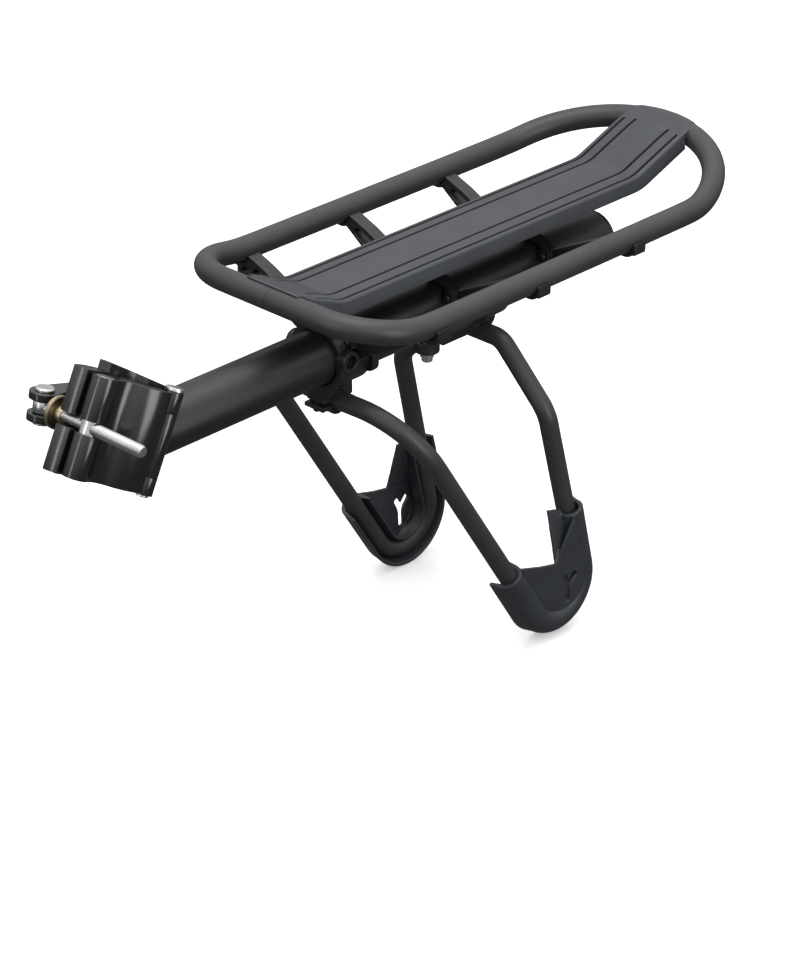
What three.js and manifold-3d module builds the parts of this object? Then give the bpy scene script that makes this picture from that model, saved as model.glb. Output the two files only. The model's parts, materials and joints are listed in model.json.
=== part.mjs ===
// A bicycle rear rack that hangs on the seat post: a quick-release clamp, a beam, a tubular deck
// and two side legs.
// Millimetres. The origin is the centre of the seat-post bore, +X points to the rear, +Y to the right, +Z up.
import * as THREE from 'three';
import { mergeVertices, toCreasedNormals } from 'three/addons/utils/BufferGeometryUtils.js';
import Module from 'manifold-3d';

const wasm = await Module();
wasm.setup();

// Driving dimensions
const GAP = 0.3;                       // air between separate pieces
const SIDES = 20;                      // facets around a rod
const RAD = Math.PI / 180;

const POST_TILT = 26 * RAD;            // seat post against the vertical
const BORE_RADIUS = 16;                // for a 31.8 mm seat post
const BODY_RADIUS = 25;                // outside of the fixed half of the clamp
const BODY_HALF_HEIGHT = 33;
const JAW_RADIUS = 25.5;
const JAW_HALF_HEIGHT = 32;
const LUG_RADIUS = 8.2;
const LUG_SLIT = 1.5;                  // open slit between the two lugs
const STUD_B = -37.2;                  // stud and barrel nut, ahead of the bore centre
const NUT_C = -6.7;                    // barrel nut, left of the bore centre
const NUT_RADIUS = 6;
const STUD_RADIUS = 4;                 // M8
const STUD_SLOT = 4.4;                 // half height of the slots that the stud lies in
const HINGE_B = 8.5;
const HINGE_C = -21;
const KNUCKLE_RADIUS = 6.2;
const KNUCKLE_LOW = -21.35;            // height at which the knuckles change over
const KNUCKLE_HIGH = 19.35;
const KNUCKLE_SPACE = 8.2;             // room cut round the other half's knuckles
const HINGE_PIN_RADIUS = 3;
const LEVER_TILT = 12 * RAD;           // lever pin against the vertical
const EYE_C = 36;                      // lever pin, right of the bore centre
const EYE_RADIUS = 6.5;
const LEVER_PIN_RADIUS = 3;

const BEAM_RADIUS = 18.4;
const BEAM_WALL = 2.5;
const BEAM_Z = -6.5;
const BEAM_END_X = 430;
const COPE_RADIUS = BODY_RADIUS + GAP;

const RAIL_RADIUS = 8;
const RAIL_Y = 84.7;
const DECK_Z = 36.9;
const FRONT_KINK_X = 171.9;            // where the deck loop starts to rise towards its front bar
const REAR_KINK_X = 439.9;             // and towards its rear arc
const FRONT_RUN = 47.9;                // length of tube ahead of the front kink
const REAR_RUN = 67.8;                 // and behind the rear kink
const FRONT_PITCH = 10.8 * RAD;
const REAR_PITCH = 15.7 * RAD;
const FRONT_CORNER = 40.4;
const REAR_ARC = 79.9;                 // fore-and-aft half axis of the rear arc

const PLATE_Z = 41;                    // top of the plate between its kinks
const PLATE_FRONT_KINK = 161;
const PLATE_REAR_KINK = 441.6;
const PLATE_FRONT_PITCH = 21.8 * RAD;  // both ramps end on top of the loop's bars
const PLATE_REAR_PITCH = 20.5 * RAD;
const WRAP_RADIUS = 8.9;               // outside of the plate where it wraps a bar

const MEMBER_X = [181, 274, 367];
const MEMBER_NAMES = ['front', 'middle', 'rear'];
const MEMBER_HALF_WIDTH = 5;
const MEMBER_SCREW_Y = 18;
const MEMBER_SCREW_Z = 6.5;
const RAIL_BOLT_Y = 80;
const BAND_RADIUS = BEAM_RADIUS + GAP; // inside of every band on the beam

const COLLAR_X = [162, 190];
const COLLAR_WALL = 4;
const STRAP_X = [161, 171];            // thick strap at the collar's front
const STRAP_WALL = 6.3;
const LOBE_Y = 21.5;                    // round blocks at the collar's rear
const LOBE_RADIUS = 6;
const COLLAR_BOLT_X = 168;
const COLLAR_BOLT_Z = -4;
const ROD_RADIUS = 6.5;
const LATERAL_X = 174;
const LATERAL_Z = -38.6;
const BRACKET_SCREW_X = [162.6, 185.4];
const SADDLE_X = [270, 324];
const SADDLE_WALL = 3;
const SADDLE_SCREW_X = [279, 297];

const COVER_RADIUS = 9.8;              // outside of the roll that a foot cover makes round the rod
const COVER_CENTRE_Y = 72.2;
const COVER_OPEN_Y = 64;               // open edge, on the wheel's side
const COVER_WALL = 2.2;

// Tools for shapes
const vector = (x, y, z) => new THREE.Vector3(x, y, z);

function solid(geometry) {
  const bare = geometry.clone();
  bare.deleteAttribute('normal');
  bare.deleteAttribute('uv');
  const welded = mergeVertices(bare, 1e-4);
  const vertProperties = Float32Array.from(welded.attributes.position.array);
  const triVerts = Uint32Array.from(welded.index.array);
  return new wasm.Manifold(new wasm.Mesh({ numProp: 3, vertProperties, triVerts }));
}

function geometryOf(body) {
  const mesh = body.getMesh();
  const geometry = new THREE.BufferGeometry();
  geometry.setAttribute('position', new THREE.BufferAttribute(mesh.vertProperties, 3));
  geometry.setIndex(new THREE.BufferAttribute(mesh.triVerts, 1));
  return toCreasedNormals(geometry, 30 * RAD);
}

function arc(u, v, radius, from, to, steps) {
  const points = [];
  for (let i = 0; i <= steps; i++) {
    const angle = (from + (to - from) * i / steps) * RAD;
    points.push([u + radius * Math.cos(angle), v + radius * Math.sin(angle)]);
  }
  return points;
}

function outline(points) {
  return new THREE.Shape(points.map(([u, v]) => new THREE.Vector2(u, v)));
}

function disc(radius, u = 0, v = 0, sides = SIDES) {
  return outline(arc(u, v, radius, 0, 360 - 360 / sides, sides - 1));
}

function box(u0, u1, v0, v1) {
  return outline([[u0, v0], [u1, v0], [u1, v1], [u0, v1]]);
}

// Sweeps a section drawn in (u, v) through frames; each has an origin, an across and an up direction.
function sweep(section, frames) {
  const steps = frames.length - 1;
  const geometry = new THREE.ExtrudeGeometry(section, { depth: steps, steps, bevelEnabled: false });
  const position = geometry.attributes.position;
  for (let i = 0; i < position.count; i++) {
    const frame = frames[Math.round(position.getZ(i))];
    const point = frame.origin.clone();
    point.addScaledVector(frame.across, position.getX(i));
    point.addScaledVector(frame.up, position.getY(i));
    position.setXYZ(i, point.x, point.y, point.z);
  }
  return solid(geometry);
}

function straight(section, from, to, across, up) {
  return sweep(section, [{ origin: from, across, up }, { origin: to, across, up }]);
}

// Straight prisms: the section is drawn in (y, z), (x, z) or (x, y).
const X = vector(1, 0, 0);
const Y = vector(0, 1, 0);
const Z = vector(0, 0, 1);
const alongX = (section, x0, x1) => straight(section, vector(x0, 0, 0), vector(x1, 0, 0), Y, Z);
const alongY = (section, y0, y1) => straight(section, vector(0, y1, 0), vector(0, y0, 0), X, Z);
const alongZ = (section, z0, z1) => straight(section, vector(0, 0, z0), vector(0, 0, z1), X, Y);

// Frames along a list of points, turned as little as possible from one to the next.
function framesAlong(points, firstAcross) {
  let across = firstAcross.clone();
  return points.map((origin, i) => {
    const forward = vector(0, 0, 0);
    if (i > 0) forward.add(origin.clone().sub(points[i - 1]).normalize());
    if (i < points.length - 1) forward.add(points[i + 1].clone().sub(origin).normalize());
    forward.normalize();
    across = across.clone().addScaledVector(forward, -across.dot(forward)).normalize();
    return { origin, across, up: forward.clone().cross(across) };
  });
}

// Straight runs joined by round bends: each stop is a point, with a bend radius where the run turns.
function route(stops, bendSteps) {
  const points = [stops[0].at];
  for (let i = 1; i < stops.length - 1; i++) {
    const { at, bend } = stops[i];
    const arriving = at.clone().sub(stops[i - 1].at).normalize();
    const leaving = stops[i + 1].at.clone().sub(at).normalize();
    const turn = arriving.angleTo(leaving);
    const start = at.clone().addScaledVector(arriving, -bend * Math.tan(turn / 2));
    const inward = leaving.clone().addScaledVector(arriving, -leaving.dot(arriving)).normalize();
    const steps = Math.max(3, Math.round(bendSteps * turn / Math.PI));
    for (let k = 0; k <= steps; k++) {
      const angle = turn * k / steps;
      const point = start.clone().addScaledVector(arriving, bend * Math.sin(angle));
      points.push(point.addScaledVector(inward, bend * (1 - Math.cos(angle))));
    }
  }
  points.push(stops.at(-1).at);
  return points;
}

const rack = new THREE.Group();
const clamp = new THREE.Group();       // x ahead-and-behind the post, y across, z along the post
clamp.rotation.y = POST_TILT;
rack.add(clamp);
const release = new THREE.Group();     // x along the lever, y along the stud, z along the lever pin
release.position.set(STUD_B, EYE_C, 0);
release.rotation.y = LEVER_TILT - POST_TILT;
clamp.add(release);

function add(name, body, [color, roughness, metalness], parent = rack, x = 0) {
  const finish = new THREE.MeshStandardMaterial({ color, roughness, metalness });
  const mesh = new THREE.Mesh(geometryOf(body), finish);
  mesh.name = name;
  mesh.position.x = x;
  parent.add(mesh);
}

const POWDER = [0x1d1f21, 0.62, 0.2];
const PLATE = [0x2a2f36, 0.45, 0.1];
const ANODISED = [0x121314, 0.3, 0.6];
const PLASTIC = [0x17181a, 0.5, 0];
const STEEL = [0xb9bcc0, 0.28, 1];
const BRONZE = [0x9a7b55, 0.35, 0.9];

// Beam
const beamBore = () => alongX(disc(BEAM_RADIUS - BEAM_WALL, 0, BEAM_Z, 32), -5, BEAM_END_X + 5);
const beamSpace = (radius = BAND_RADIUS) => alongX(disc(radius, 0, BEAM_Z, 40), -5, BEAM_END_X + 5);

function postCylinder(radius) {
  const along = vector(Math.sin(POST_TILT), 0, Math.cos(POST_TILT)).multiplyScalar(80);
  return sweep(disc(radius, 0, 0, 40), framesAlong([along.clone().negate(), along], Y));
}

function beamTube() {
  let beam = alongX(disc(BEAM_RADIUS, 0, BEAM_Z, 32), 0, BEAM_END_X);
  beam = beam.subtract(beamBore()).subtract(postCylinder(COPE_RADIUS));
  beam = beam.subtract(alongY(disc(2.3, COLLAR_BOLT_X, COLLAR_BOLT_Z, 12), -30, 30));
  for (const x of SADDLE_SCREW_X) {
    beam = beam.subtract(alongZ(disc(2.3, x, 0, 12), -30, BEAM_Z));
  }
  return beam;
}

function endCap() {
  const plug = BEAM_RADIUS - BEAM_WALL - GAP;
  let cap = alongX(disc(plug, 0, BEAM_Z, 28), BEAM_END_X - 12, BEAM_END_X + 1);
  cap = cap.add(alongX(disc(BEAM_RADIUS, 0, BEAM_Z, 32), BEAM_END_X + GAP, BEAM_END_X + 3.2));
  return cap.subtract(alongX(disc(plug - 2, 0, BEAM_Z, 24), BEAM_END_X - 20, BEAM_END_X + 1.5));
}

// Deck: a point of the loop, from its distance along the tube's side view and its place across
function deckPoint(run, y) {
  const flat = REAR_KINK_X - FRONT_KINK_X;
  if (run < FRONT_RUN) {
    const back = FRONT_RUN - run;
    return vector(FRONT_KINK_X - back * Math.cos(FRONT_PITCH), y, DECK_Z + back * Math.sin(FRONT_PITCH));
  }
  if (run > FRONT_RUN + flat) {
    const on = run - FRONT_RUN - flat;
    return vector(REAR_KINK_X + on * Math.cos(REAR_PITCH), y, DECK_Z + on * Math.sin(REAR_PITCH));
  }
  return vector(FRONT_KINK_X + run - FRONT_RUN, y, DECK_Z);
}

const LOOP_LENGTH = FRONT_RUN + REAR_KINK_X - FRONT_KINK_X + REAR_RUN;

function halfLoop() {
  const centre = LOOP_LENGTH - REAR_ARC;
  const points = [deckPoint(0, GAP / 2)];
  for (const [run, y] of arc(FRONT_CORNER, RAIL_Y - FRONT_CORNER, FRONT_CORNER, 180, 90, 6)) {
    points.push(deckPoint(run, y));
  }
  points.push(deckPoint(FRONT_RUN, RAIL_Y));
  for (let angle = 0; angle <= 90; angle += 6) {
    points.push(deckPoint(centre + REAR_ARC * Math.sin(angle * RAD), RAIL_Y * Math.cos(angle * RAD)));
  }
  return points;
}

function loopPoints() {
  const right = halfLoop();
  const left = right.slice(0, -1).reverse().map((point) => vector(point.x, -point.y, point.z));
  return [...right, ...left];
}

const loopTube = (radius) => sweep(disc(radius), framesAlong(loopPoints(), X));

// Top line of the deck plate
function plateTop(x) {
  if (x < PLATE_FRONT_KINK) return PLATE_Z + (PLATE_FRONT_KINK - x) * Math.tan(PLATE_FRONT_PITCH);
  if (x > PLATE_REAR_KINK) return PLATE_Z + (x - PLATE_REAR_KINK) * Math.tan(PLATE_REAR_PITCH);
  return PLATE_Z;
}

function plateSection() {
  const groove = (y, z) => [[y + 0.9, z], [y + 0.5, z - 0.9], [y - 0.5, z - 0.9], [y - 0.9, z]];
  const top = [[27.6, -0.3], ...groove(23.6, 0.2), ...groove(14.6, 0.8)];
  const mirrored = top.map(([y, z]) => [-y, z]).reverse();
  const bottom = [[-31.4, -8], [-29.4, -8], [-26.2, -2.8], [26.2, -2.8], [29.4, -8], [31.4, -8]];
  return outline([...top, ...mirrored, ...bottom]);
}

function deckPlate() {
  const front = deckPoint(0, 0);
  const rearX = deckPoint(LOOP_LENGTH, 0).x;
  const stations = [front.x, PLATE_FRONT_KINK, PLATE_REAR_KINK, rearX];
  const frames = stations.map((x) => (
    { origin: vector(x, 0, plateTop(x)), across: Y, up: Z }
  ));
  const frontWrap = alongY(disc(WRAP_RADIUS, front.x, front.z, 24), -25, 25);
  const frontKeep = alongY(box(front.x - 3, front.x + 3, front.z, front.z + 12), -25, 25);
  const rearArc = loopPoints().filter((point) => point.x > 480 && Math.abs(point.y) < 36);
  const rearWrap = sweep(disc(WRAP_RADIUS, 0, 0, 24), framesAlong(rearArc, X));
  const rearKeep = alongZ(box(470, 520, -28, 28), 59, 80);
  let plate = sweep(plateSection(), frames);
  plate = plate.add(frontWrap.intersect(frontKeep)).add(rearWrap.intersect(rearKeep));
  return plate.subtract(loopTube(RAIL_RADIUS + GAP));
}

// Cross members: drawn once about x = 0
function memberHalf() {
  const seat = arc(RAIL_Y, DECK_Z, RAIL_RADIUS + GAP, 186, 360, 12);
  const under = arc(RAIL_Y, DECK_Z, 11.6, 305, 245, 5);
  return [
    [0, 16], [9, 14], [18, 9.4], [60, 30], [74, 35.6], ...seat,
    [96, 37.4], [96, 32], ...under, [66, 17.5], [22, -6.2], [0, -6.2],
  ];
}

function memberBody(withBoss) {
  const half = memberHalf();
  const left = half.slice(1, -1).reverse().map(([y, z]) => [-y, z]);
  let member = alongX(outline([...half, ...left].reverse()), -MEMBER_HALF_WIDTH, MEMBER_HALF_WIDTH);
  for (const side of [-1, 1]) {
    const slotEnds = [arc(46 * side, 15.2, 3.2, 0, 330, 11), arc(68 * side, 25.6, 3.2, 0, 330, 11)];
    member = member.subtract(alongX(hull(slotEnds.flat()), -10, 10));
    member = member.add(alongX(box(side * 18.5 - 4, side * 18.5 + 4, 2, 10.4), -8.7, -4));
    member = member.subtract(alongX(disc(1.8, side * MEMBER_SCREW_Y, MEMBER_SCREW_Z, 12), -10, 4.5));
    if (withBoss) {
      member = member.add(alongZ(disc(8, 0, side * RAIL_BOLT_Y, 18), 18, 25.5));
      member = member.subtract(alongZ(disc(2.8, 0, side * RAIL_BOLT_Y, 12), 17, 26.5));
    }
  }
  return member.subtract(beamSpace().translate([-200, 0, 0]));
}

// Convex outline around a set of points
function hull(points) {
  const sorted = [...points].sort((p, q) => p[0] - q[0] || p[1] - q[1]);
  const chain = (list) => {
    const kept = [];
    for (const point of list) {
      while (kept.length > 1 && turn(kept.at(-2), kept.at(-1), point) <= 0) kept.pop();
      kept.push(point);
    }
    return kept.slice(0, -1);
  };
  return outline([...chain(sorted), ...chain(sorted.reverse())]);
}

const turn = (p, q, r) => (q[0] - p[0]) * (r[1] - p[1]) - (q[1] - p[1]) * (r[0] - p[0]);

const memberScrew = (side) => alongX(disc(2.6, side * MEMBER_SCREW_Y, MEMBER_SCREW_Z, 16), -11.2, -9)
  .add(alongX(disc(1.5, side * MEMBER_SCREW_Y, MEMBER_SCREW_Z, 10), -9.5, 4));

const railBolt = (side) => alongZ(disc(4.4, 0, side * RAIL_BOLT_Y, 18), 13.8, 17.7)
  .add(alongZ(disc(3.6, 0, side * RAIL_BOLT_Y, 18), 10.9, 14))
  .add(alongZ(disc(2.5, 0, side * RAIL_BOLT_Y, 12), 17, 26));

// Bands on the beam
function halfBand(wall, x0, x1, upper) {
  const [from, to] = upper ? [0, 180] : [180, 360];
  const outer = arc(0, BEAM_Z, BAND_RADIUS + wall, from, to, 14);
  const inner = arc(0, BEAM_Z, BAND_RADIUS, to, from, 14);
  const shift = upper ? GAP : -GAP;
  const ring = outline([...outer, ...inner].map(([y, z]) => [y, z + shift]));
  return alongX(ring, x0, x1).subtract(beamSpace());
}

const collarBoss = (radius) => alongY(disc(radius, COLLAR_BOLT_X, COLLAR_BOLT_Z, 24), -26.5, 26.5);

function collarLowerBand() {
  let band = halfBand(COLLAR_WALL, ...COLLAR_X, false).add(halfBand(STRAP_WALL, ...STRAP_X, false));
  band = band.add(collarBoss(7.4));
  band = band.add(alongZ(box(160.5, 188, -8.5, 8.5), LATERAL_Z + 1, BEAM_Z - BAND_RADIUS));
  for (const side of [-1, 1]) {
    const [y, top] = [LOBE_Y * side, -4];
    const lobe = [...arc(y, -12, LOBE_RADIUS, 180, 360, 8), [y + LOBE_RADIUS, top], [y - LOBE_RADIUS, top]];
    band = band.add(alongX(outline(lobe), 186.4, 192.4));
    band = band.add(alongX(disc(5.2, side * 8, -28.6, 16), ...STRAP_X));
  }
  band = band.subtract(beamSpace());
  for (const side of [-1, 1]) {
    const recess = disc(4.6, COLLAR_BOLT_X, COLLAR_BOLT_Z, 16);
    band = band.subtract(alongY(recess, side * 26.5 - 4.8, side * 26.5 + 4.8));
  }
  band = band.subtract(alongY(disc(2.3, COLLAR_BOLT_X, COLLAR_BOLT_Z, 12), -30, 30));
  return bracketHoles(band.subtract(lateralSpace()));
}

const collarUpperSaddle = () => halfBand(COLLAR_WALL, COLLAR_X[0], 169.5, true).subtract(collarBoss(7.7));

function collarBolt(side) {
  const head = side * 23.2;
  const bolt = alongY(disc(4, COLLAR_BOLT_X, COLLAR_BOLT_Z, 16), head - 1.2, head + 1.2);
  const inner = [side * 15, side * 23].sort((p, q) => p - q);
  return bolt.add(alongY(disc(2, COLLAR_BOLT_X, COLLAR_BOLT_Z, 10), ...inner));
}

// Room for the two leg rods that meet under the collar
function lateralSpace() {
  const leg = legTube(ROD_RADIUS + GAP);
  return leg.add(mirrored(leg)).add(alongY(disc(ROD_RADIUS + GAP, LATERAL_X, LATERAL_Z), -4, 4));
}

function bracketHoles(body) {
  return BRACKET_SCREW_X.reduce((rest, x) => rest.subtract(alongZ(disc(1.8, x, 0, 12), -60, -31)), body);
}

function frontLegBracket() {
  const cradle = arc(LATERAL_X, LATERAL_Z, 9.6, 207, 333, 10);
  const side = outline([[159.5, -40], [159.5, -43], ...cradle, [188.5, -43], [188.5, -40]]);
  return bracketHoles(alongY(side, -8.5, 8.5).subtract(lateralSpace()));
}

const bracketScrew = (x) => alongZ(disc(2.5, x, 0, 16), -45.3, -43.3)
  .add(alongZ(disc(1.5, x, 0, 10), -44, -31.5));

function rearLegSaddle() {
  let saddle = halfBand(SADDLE_WALL, ...SADDLE_X, false);
  const block = outline([[270, -33], [319, -33], [322, -29], [322, -20], [270, -20]]);
  saddle = saddle.add(alongY(block, -9, 9)).subtract(beamSpace());
  for (const x of SADDLE_SCREW_X) {
    saddle = saddle.subtract(alongZ(disc(2.3, x, 0, 12), -40, -20));
  }
  const leg = legTube(ROD_RADIUS + GAP);
  return saddle.subtract(leg).subtract(mirrored(leg));
}

const saddleScrew = (x) => alongZ(disc(3.6, x, 0, 16), -35.4, -33.3).add(alongZ(disc(2, x, 0, 10), -34, -21));

// Legs: the right one, mirrored for the left
const FOOT_CORNER = vector(376.4, 74.4, -350.4);
const FOOT_BEND = 26.2;
const KNEE = vector(310, 67, -76);

function legStops() {
  return [
    { at: vector(LATERAL_X, GAP, LATERAL_Z) },
    { at: vector(176.9, 69.8, LATERAL_Z), bend: 45 },
    { at: FOOT_CORNER, bend: FOOT_BEND },
    { at: KNEE, bend: 20 },
    { at: vector(311, 24.5, -35.8), bend: 16 },
    { at: vector(311, GAP, -35.8) },
  ];
}

const mirrored = (body) => body.mirror([0, 1, 0]);
const legTube = (radius) => sweep(disc(radius, 0, 0, 16), framesAlong(route(legStops(), 16), X));

// The stretch of the leg that a foot cover holds
function footPoints() {
  return route([
    { at: vector(268, 71.9, -181) },
    { at: FOOT_CORNER, bend: FOOT_BEND },
    { at: vector(328.6, 70.2, -152) },
  ], 20);
}

// Section of the roll: closed outside, open towards the wheel; the first coordinate points into the V
function coverSection() {
  const outer = arc(0, -COVER_CENTRE_Y, COVER_RADIUS, 180, 360, 10);
  const inner = arc(0, -COVER_CENTRE_Y, ROD_RADIUS + GAP, 360, 180, 10);
  const [rimSide, webSide] = [-COVER_OPEN_Y, -COVER_OPEN_Y - 1];
  return outline([[-11.3, rimSide], ...outer, [10.2, webSide], [8.5, webSide], ...inner, [-9, rimSide]]);
}

// A flat wall drawn in (x, z), whose outer face passes through a point with the slopes given
function tiltedWall(points, at, slopeX, slopeZ) {
  const base = at.y - slopeX * at.x - slopeZ * at.z;
  const ends = [vector(0, base, 0), vector(0, base - COVER_WALL, 0)];
  return straight(outline(points), ...ends, vector(1, slopeX, 0), vector(0, slopeZ, 1));
}

function footCover() {
  const frames = framesAlong(footPoints(), vector(0.842, 0, 0.539));
  const level = frames.map(({ origin, across }) => {
    const flat = across.clone().setY(0).normalize();
    return { origin: vector(origin.x, 0, origin.z), across: flat, up: vector(0, -1, 0) };
  });
  const alongRoll = level.map(({ origin, across }, i) => {
    const inside = i < level.length / 2 ? 8.4 : 5;
    return [origin.x + across.x * inside, origin.z + across.z * inside];
  });
  const web = tiltedWall([...alongRoll, [308, -185], [294, -182]], vector(288, 78.6, -197), 0.067, 0.043);
  const finPoints = [[308, -185], [309, -148], [321, -151], [329, -185]].reverse();
  const fin = tiltedWall(finPoints, vector(308, 80.4, -185), 0, -0.243);
  const cover = sweep(coverSection(), level).add(web).add(fin).subtract(legTube(ROD_RADIUS + GAP));
  return cover.subtract(alongY(yShape(), COVER_CENTRE_Y, COVER_CENTRE_Y + 14));
}

// Three-armed opening in the outer panel
function yShape() {
  const points = [];
  for (const [angle, reach] of [[-90, 14], [45, 10.5], [120, 9.5]]) {
    const along = [Math.cos(angle * RAD), Math.sin(angle * RAD)];
    for (const [distance, side] of [[3, -2.3], [reach, -2.3], [reach, 2.3], [3, 2.3]]) {
      const [u, v] = [along[0] * distance - along[1] * side, along[1] * distance + along[0] * side];
      points.push([320.5 + u, -205.5 + v]);
    }
  }
  return outline(points);
}

// Seat-post clamp, in the clamp's own frame
const hingeDisc = (radius) => disc(radius, HINGE_B, HINGE_C, 20);

function withKnuckles(body, own, other) {
  let result = body;
  for (const [low, high] of other) {
    result = result.subtract(alongZ(hingeDisc(KNUCKLE_SPACE), low - 0.15, high + 0.15));
  }
  for (const [low, high] of own) {
    result = result.add(alongZ(hingeDisc(KNUCKLE_RADIUS), low + 0.15, high - 0.15));
  }
  return result.subtract(alongZ(hingeDisc(HINGE_PIN_RADIUS + GAP), -60, 60));
}

const FIXED_KNUCKLES = [[-BODY_HALF_HEIGHT, KNUCKLE_LOW], [KNUCKLE_HIGH, BODY_HALF_HEIGHT]];
const JAW_KNUCKLES = [[KNUCKLE_LOW, KNUCKLE_HIGH]];

function clampBody() {
  const outer = arc(0, 0, BODY_RADIUS, -57, 140, 22);
  const lug = arc(STUD_B, NUT_C, 20.7, 62, 119, 6);
  const bore = arc(0, 0, BORE_RADIUS, 174.6, -59, 30);
  const shape = outline([...outer, ...lug, [-47.7, 8.1], [-44.7, LUG_SLIT], ...bore]);
  // The lug ends square to the post; behind it the body's top slopes down to the rear
  const lugTop = [[-60, BODY_HALF_HEIGHT], [-27, BODY_HALF_HEIGHT]];
  const above = [...lugTop, [-27, 38.8], [30, 29.7], [30, 60], [-60, 60]];
  let body = alongZ(shape, -BODY_HALF_HEIGHT, 50).subtract(alongY(outline(above), -40, 40));
  body = body.subtract(alongY(box(-60, STUD_B + STUD_RADIUS + 1, -STUD_SLOT, STUD_SLOT), 0, 30));
  return withKnuckles(body, FIXED_KNUCKLES, JAW_KNUCKLES);
}

// Hollow between two round outlines: an arc of the given radius that touches both
function hollow([u0, v0, radius0], [u1, v1, radius1], radius) {
  const apart = Math.hypot(u1 - u0, v1 - v0);
  const [side0, side1] = [radius0 + radius, radius1 + radius];
  const corner = Math.acos((apart ** 2 + side0 ** 2 - side1 ** 2) / (2 * apart * side0));
  const bearing = Math.atan2(v1 - v0, u1 - u0) - corner;
  const [u, v] = [u0 + side0 * Math.cos(bearing), v0 + side0 * Math.sin(bearing)];
  const toFirst = Math.atan2(v0 - v, u0 - u) / RAD;
  const toSecond = Math.atan2(v1 - v, u1 - u) / RAD;
  return { points: arc(u, v, radius, toFirst, toSecond, 5), leaves: bearing / RAD, meets: toSecond - 180 };
}

function clampJaw() {
  const fillet = hollow([STUD_B, NUT_C, LUG_RADIUS], [0, 0, JAW_RADIUS], 12);
  const lug = arc(STUD_B, NUT_C, LUG_RADIUS, 125, 360 + fillet.leaves, 10);
  const outer = arc(0, 0, JAW_RADIUS, fillet.meets, -80, 6);
  const bore = arc(0, 0, BORE_RADIUS, -80, -180, 14);
  const shape = outline([...lug, ...fillet.points, ...outer, ...bore]);
  let jaw = alongZ(shape, -JAW_HALF_HEIGHT, JAW_HALF_HEIGHT);
  // Room for the stud at rest and swung out
  const inner = STUD_B + STUD_RADIUS + 1;
  const swing = outline([[-60, 2], [-60, -60], [-1.4, -60], [inner, -6.5], [inner, 2]]);
  jaw = jaw.subtract(alongZ(swing, -STUD_SLOT, STUD_SLOT));
  jaw = jaw.subtract(alongZ(disc(NUT_RADIUS + GAP, STUD_B, NUT_C, 24), -14.3, 60));
  return withKnuckles(jaw, JAW_KNUCKLES, [[-60, KNUCKLE_LOW], [KNUCKLE_HIGH, 60]]);
}

function hingePin() {
  let pin = alongZ(hingeDisc(HINGE_PIN_RADIUS), -34, 34.4);
  pin = pin.add(alongZ(hingeDisc(6), BODY_HALF_HEIGHT + GAP, 35.4));
  return pin.add(alongZ(hingeDisc(4), -34.6, -BODY_HALF_HEIGHT - GAP));
}

const barrelNut = () => alongZ(disc(NUT_RADIUS, STUD_B, NUT_C, 24), -14, JAW_HALF_HEIGHT)
  .subtract(alongY(disc(STUD_RADIUS + GAP, STUD_B, 0, 18), -30, 30));

// Quick release, in the lever's own frame
const eyeDisc = (radius) => disc(radius, 0, 0, 20);

function clampStud() {
  const stud = alongY(disc(STUD_RADIUS, 0, 0, 18), -90, -3).add(alongZ(eyeDisc(EYE_RADIUS), -4.1, 4.1));
  return stud.subtract(alongZ(eyeDisc(LEVER_PIN_RADIUS + GAP), -10, 10));
}

const washer = (radius, from, to) => alongY(disc(radius, 0, 0, 24), from, to)
  .subtract(alongY(disc(STUD_RADIUS + GAP, 0, 0, 18), from - 1, to + 1));

function quickLever() {
  const cam = arc(0, 0, 9.6, 62, 270, 12);
  const underside = [[10, -7.5], [30, -4.5], [60, -1.5], [72, 0.5]];
  const blade = outline([...cam, ...underside, [73, 3], [60, 4.4], [30, 6], [12, 8.5]]);
  let lever = alongZ(blade, -9.5, 9.5);
  lever = lever.subtract(alongZ(outline([...arc(0, 0, 14, -30, 30, 4), [-20, 20], [-20, -20]]), -4.4, 4.4));
  return lever.subtract(alongZ(eyeDisc(LEVER_PIN_RADIUS + GAP), -20, 20));
}

function leverPin() {
  let pin = alongZ(eyeDisc(LEVER_PIN_RADIUS), -11, 11);
  pin = pin.add(alongZ(eyeDisc(6.2), 9.8, 11.8));
  return pin.add(alongZ(eyeDisc(6.2), -11.8, -9.8));
}

add('beam_tube', beamTube(), POWDER);
add('beam_end_cap', endCap(), PLASTIC);
add('deck_loop', loopTube(RAIL_RADIUS), POWDER);
add('deck_plate', deckPlate(), PLATE);
MEMBER_X.forEach((x, i) => {
  add(`cross_member_${MEMBER_NAMES[i]}`, memberBody(i === 0), PLASTIC, rack, x);
  add(`member_screw_${MEMBER_NAMES[i]}_left`, memberScrew(-1), STEEL, rack, x);
  add(`member_screw_${MEMBER_NAMES[i]}_right`, memberScrew(1), STEEL, rack, x);
});
for (const [name, side] of [['left', -1], ['right', 1]]) {
  add(`rail_bolt_${name}`, railBolt(side), STEEL, rack, MEMBER_X[0]);
  add(`collar_bolt_${name}`, collarBolt(side), ANODISED);
}
add('collar_upper_saddle', collarUpperSaddle(), PLASTIC);
add('collar_lower_band', collarLowerBand(), PLASTIC);
add('front_leg_bracket', frontLegBracket(), PLASTIC);
add('bracket_screw_front', bracketScrew(BRACKET_SCREW_X[0]), STEEL);
add('bracket_screw_rear', bracketScrew(BRACKET_SCREW_X[1]), STEEL);
add('rear_leg_saddle', rearLegSaddle(), PLASTIC);
add('saddle_screw_front', saddleScrew(SADDLE_SCREW_X[0]), STEEL);
add('saddle_screw_rear', saddleScrew(SADDLE_SCREW_X[1]), STEEL);
add('leg_rod_left', mirrored(legTube(ROD_RADIUS)), POWDER);
add('leg_rod_right', legTube(ROD_RADIUS), POWDER);
add('foot_cover_left', mirrored(footCover()), PLASTIC);
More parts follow.
